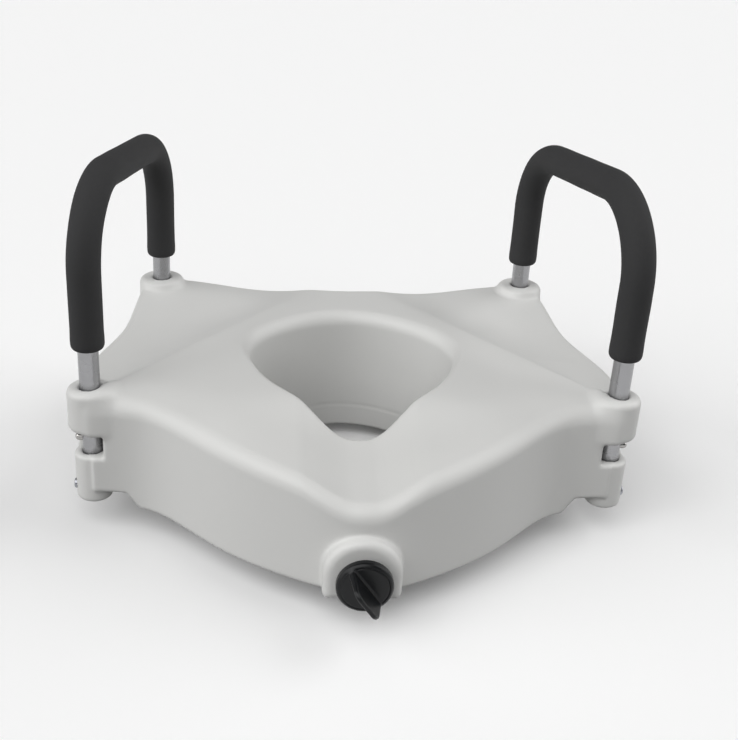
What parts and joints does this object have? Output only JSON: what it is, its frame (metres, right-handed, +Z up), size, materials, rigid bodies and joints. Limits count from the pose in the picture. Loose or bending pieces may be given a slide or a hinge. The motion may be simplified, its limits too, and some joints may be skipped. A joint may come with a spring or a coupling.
{
  "type": "raised toilet seat",
  "caption": "Hollow moulded raised toilet seat with front cut-out, removable padded side arms held by snap buttons, and a screw clamp that grips the bowl.",
  "frame": {"origin": "middle of the bounding box, at the bottom of the clamp jaw and rear hooks", "axes": "+X to the right seen from the clamp knob, across the seat and its longest extent; +Y from the knob to the back; +Z up"},
  "size_m": [0.534, 0.5012, 0.3424],
  "materials": {
    "white_polyethylene": "fine satin moulded surface, slightly translucent",
    "black_plastic": "satin moulded",
    "foam": "matt closed-cell foam",
    "satin_aluminium": "satin anodised",
    "chromed_steel": "bright plated",
    "zinc_steel": "zinc plated",
    "spring_steel": "bright spring steel",
    "grey_rubber": "matt",
    "white_nylon": "satin moulded"
  },
  "bodies": {
    "seat": {"seat_shell": "white_polyethylene", "knob_washer": "white_nylon", "clamp_guide": "zinc_steel", "guide_screws": "zinc_steel", "rear_hook_screws": "zinc_steel", "rim_pads": "grey_rubber", "right_arm_tube": "satin_aluminium", "right_arm_grip": "foam", "right_arm_end_plugs": "black_plastic", "right_arm_screws": "zinc_steel", "right_front_snap_spring": "spring_steel", "right_rear_snap_spring": "spring_steel", "right_rear_hook": "white_nylon", "right_rear_hook_pad": "grey_rubber", "left_arm_tube": "satin_aluminium", "left_arm_grip": "foam", "left_arm_end_plugs": "black_plastic", "left_arm_screws": "zinc_steel", "left_front_snap_spring": "spring_steel", "left_rear_snap_spring": "spring_steel", "left_rear_hook": "white_nylon", "left_rear_hook_pad": "grey_rubber"},
    "knob": {"clamp_knob": "black_plastic", "knob_roll_pin": "spring_steel", "clamp_screw": "zinc_steel", "retaining_clip": "spring_steel"},
    "jaw": {"clamp_jaw": "white_nylon", "clamp_nut": "zinc_steel", "jaw_pad": "grey_rubber"},
    "right_front_button": {"right_front_snap_button": "chromed_steel"},
    "right_rear_button": {"right_rear_snap_button": "chromed_steel"},
    "left_front_button": {"left_front_snap_button": "chromed_steel"},
    "left_rear_button": {"left_rear_snap_button": "chromed_steel"}
  },
  "joints": [
    {"name": "knob_turn", "type": "hinge", "parent": "seat", "child": "knob", "pos_m": [0, -0.22365, 0.056], "axis": [0, 1, 0], "range_deg": [0, 1800]},
    {"name": "jaw_slide", "type": "slide", "parent": "seat", "child": "jaw", "axis": [0, -1, 0], "range_m": [0, 0.0201]},
    {"name": "right_front_button_press", "type": "slide", "parent": "seat", "child": "right_front_button", "axis": [-1, 0, 0], "range_m": [0, 0.0055], "stiffness_N_per_m": 900, "springref_m": -0.004, "deforming": ["right_front_snap_spring"]},
    {"name": "right_rear_button_press", "type": "slide", "parent": "seat", "child": "right_rear_button", "axis": [-1, 0, 0], "range_m": [0, 0.0055], "stiffness_N_per_m": 900, "springref_m": -0.004, "deforming": ["right_rear_snap_spring"]},
    {"name": "left_front_button_press", "type": "slide", "parent": "seat", "child": "left_front_button", "axis": [1, 0, 0], "range_m": [0, 0.0055], "stiffness_N_per_m": 900, "springref_m": -0.004, "deforming": ["left_front_snap_spring"]},
    {"name": "left_rear_button_press", "type": "slide", "parent": "seat", "child": "left_rear_button", "axis": [1, 0, 0], "range_m": [0, 0.0055], "stiffness_N_per_m": 900, "springref_m": -0.004, "deforming": ["left_rear_snap_spring"]}
  ],
  "couplings": [
    {"joint": "jaw_slide", "follows": "knob_turn", "m_per_rad": 0.00063662}
  ]
}
